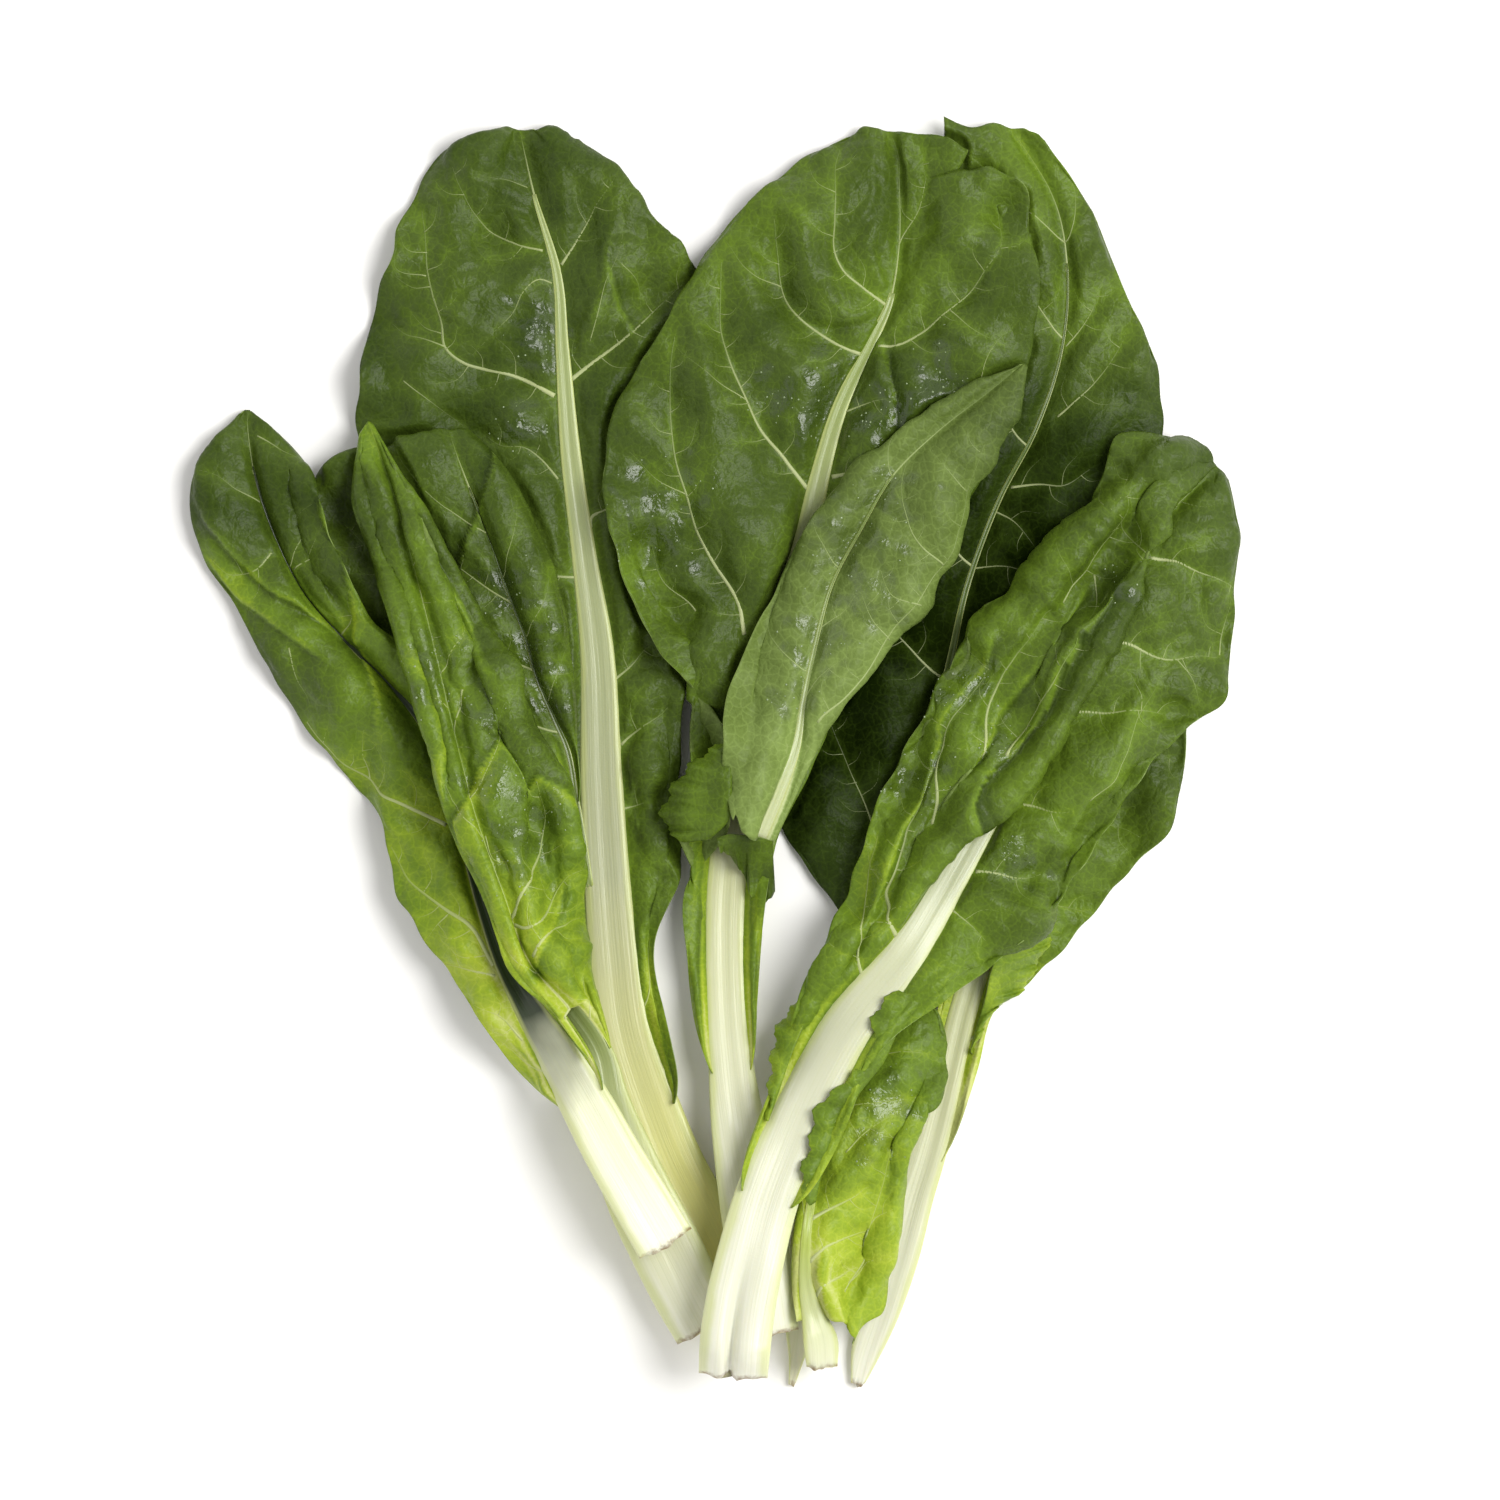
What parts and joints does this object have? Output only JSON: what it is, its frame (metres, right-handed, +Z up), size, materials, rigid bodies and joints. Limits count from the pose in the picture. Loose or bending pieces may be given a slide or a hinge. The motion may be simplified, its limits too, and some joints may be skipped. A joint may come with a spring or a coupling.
{
  "type": "swiss chard",
  "caption": "Bunch of loose swiss chard leaves lying fanned out flat, with dark wrinkled green blades and broad pale stalks that cross at the base.",
  "frame": {"origin": "centre of the bounding box's base, on the surface the bunch lies on", "axes": "+Z up, +Y from the cut stalk ends towards the leaf tips, +X to the right as seen in the picture, which looks straight down"},
  "size_m": [0.3774, 0.4577, 0.0421],
  "materials": {
    "stalk": "moist, ridged plant stalk",
    "blade": "waxy, puckered upper side of a leaf",
    "blade_underside": "matt underside of a leaf"
  },
  "bodies": {
    "root": {"back_left_stalk": "stalk", "back_left_blade": "blade", "back_right_stalk": "stalk", "back_right_blade": "blade", "right_under_stalk": "stalk", "right_under_blade": "blade", "left_back_stalk": "stalk", "left_back_blade": "blade", "left_inner_stalk": "stalk", "left_inner_blade": "blade", "left_outer_stalk": "stalk", "left_outer_blade": "blade", "centre_stalk": "stalk", "centre_blade": "blade", "small_right_stalk": "stalk", "small_right_blade": "blade", "right_front_stalk": "stalk", "right_front_blade": "blade", "centre_top_stalk": "stalk", "centre_top_blade": "blade_underside"}
  },
  "joints": []
}
